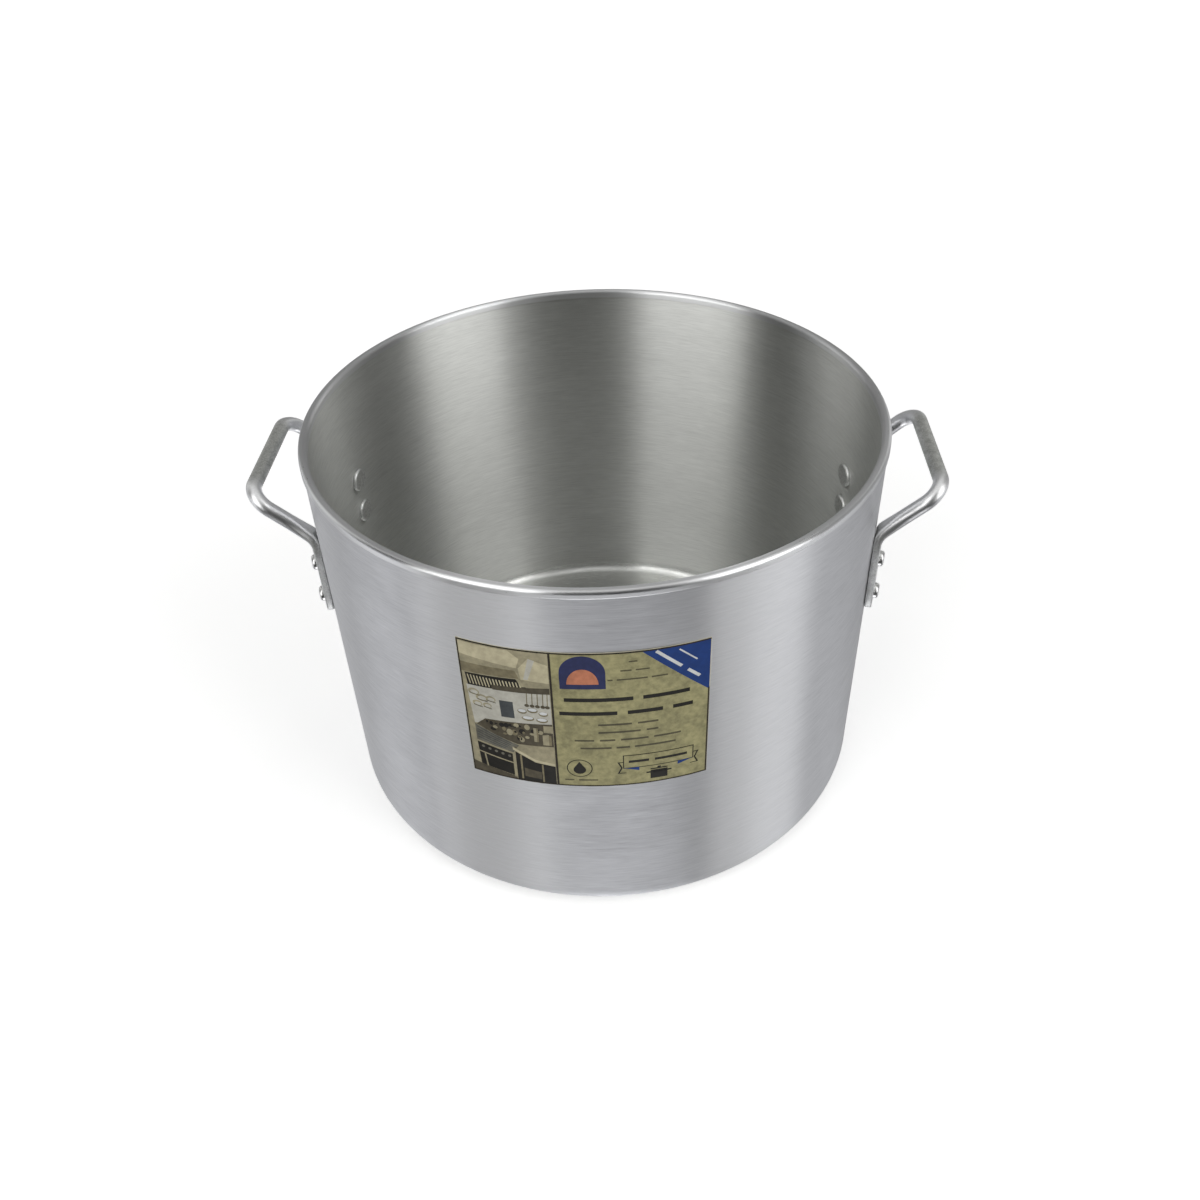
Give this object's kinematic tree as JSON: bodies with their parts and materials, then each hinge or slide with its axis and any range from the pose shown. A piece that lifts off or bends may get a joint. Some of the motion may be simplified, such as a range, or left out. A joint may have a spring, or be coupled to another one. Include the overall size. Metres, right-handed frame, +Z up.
{
  "type": "stock pot",
  "caption": "Wide round aluminium stock pot with straight, slightly tapered walls, a beaded rim, riveted loop handles on both sides and a paper label on the front.",
  "frame": {"origin": "centre of the base's underside, on the surface that the pot stands on", "axes": "+Z up through the mouth, along the pot's own axis; the handles stand on the +X and -X sides; the label faces -Y"},
  "size_m": [0.4302, 0.362, 0.258],
  "materials": {
    "pot_aluminium": "brushed round the wall",
    "handle_aluminium": "tumbled, with a soft mottle",
    "rivet_aluminium": "satin",
    "label_paper": "coated paper"
  },
  "bodies": {
    "root": {"pot_body": "pot_aluminium", "handle_left": "handle_aluminium", "handle_right": "handle_aluminium", "rivet_left_front_upper": "rivet_aluminium", "rivet_left_front_lower": "rivet_aluminium", "rivet_left_back_upper": "rivet_aluminium", "rivet_left_back_lower": "rivet_aluminium", "rivet_right_front_upper": "rivet_aluminium", "rivet_right_front_lower": "rivet_aluminium", "rivet_right_back_upper": "rivet_aluminium", "rivet_right_back_lower": "rivet_aluminium", "label": "label_paper"}
  },
  "joints": []
}
